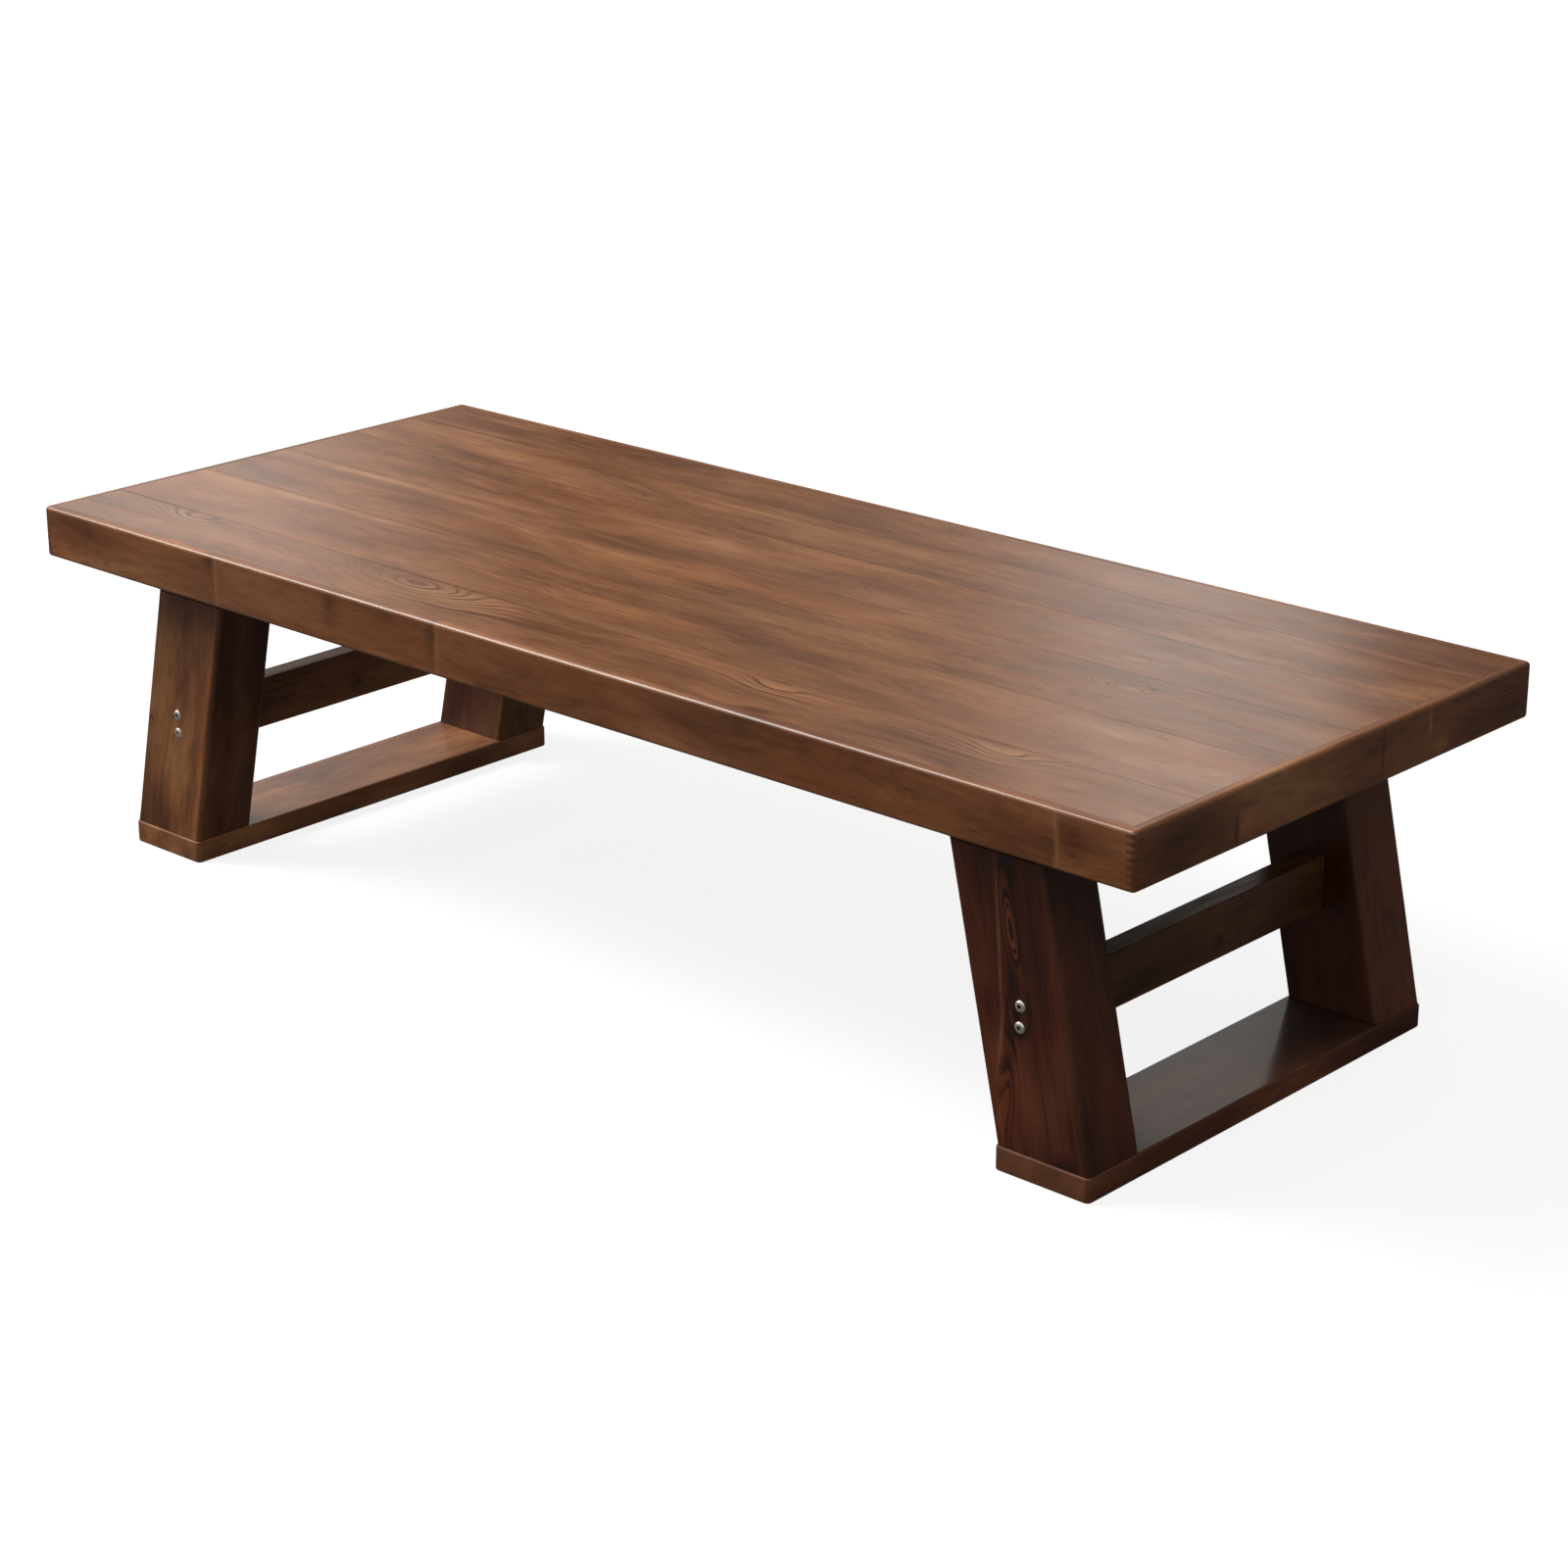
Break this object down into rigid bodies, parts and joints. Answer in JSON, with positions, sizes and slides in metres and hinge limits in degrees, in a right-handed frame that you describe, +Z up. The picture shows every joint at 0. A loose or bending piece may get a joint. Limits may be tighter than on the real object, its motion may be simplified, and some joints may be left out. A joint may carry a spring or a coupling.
{
  "type": "low altar table",
  "caption": "Long low table with a thick planked top, comb-jointed edge boards and two splayed leg frames, each with posts, a stretcher and a sole board.",
  "frame": {"origin": "centre of the table on the floor, under the middle of the top", "axes": "+Z up, +X along the length of the top, -Y towards the front"},
  "size_m": [1.8, 0.75, 0.465],
  "materials": {
    "top_wood": "walnut-stained softwood planks under satin lacquer",
    "edge_wood": "walnut-stained finger-jointed softwood under satin lacquer",
    "leg_wood": "dark walnut-stained softwood under satin lacquer",
    "rib_wood": "planed softwood with one thin coat of stain",
    "bolt_steel": "nickel-plated",
    "insert_steel": "yellow zinc-plated"
  },
  "bodies": {
    "root": {"front_edge_board": "edge_wood", "rear_edge_board": "edge_wood", "left_end_board": "edge_wood", "right_end_board": "edge_wood", "top_plank_1": "top_wood", "top_plank_2": "top_wood", "top_plank_3": "top_wood", "top_plank_4": "top_wood", "top_plank_5": "top_wood", "top_plank_6": "top_wood", "left_cleat": "rib_wood", "right_cleat": "rib_wood", "left_batten": "rib_wood", "centre_batten": "rib_wood", "right_batten": "rib_wood", "left_head_board": "leg_wood", "right_head_board": "leg_wood", "left_front_post": "leg_wood", "left_rear_post": "leg_wood", "right_front_post": "leg_wood", "right_rear_post": "leg_wood", "left_stretcher": "leg_wood", "right_stretcher": "leg_wood", "left_sole_board": "leg_wood", "right_sole_board": "leg_wood", "stretcher_bolts": "bolt_steel", "stretcher_inserts": "insert_steel", "frame_bolts": "bolt_steel", "frame_washers": "bolt_steel", "frame_inserts": "insert_steel", "top_screws": "insert_steel", "post_screws": "insert_steel"}
  },
  "joints": []
}
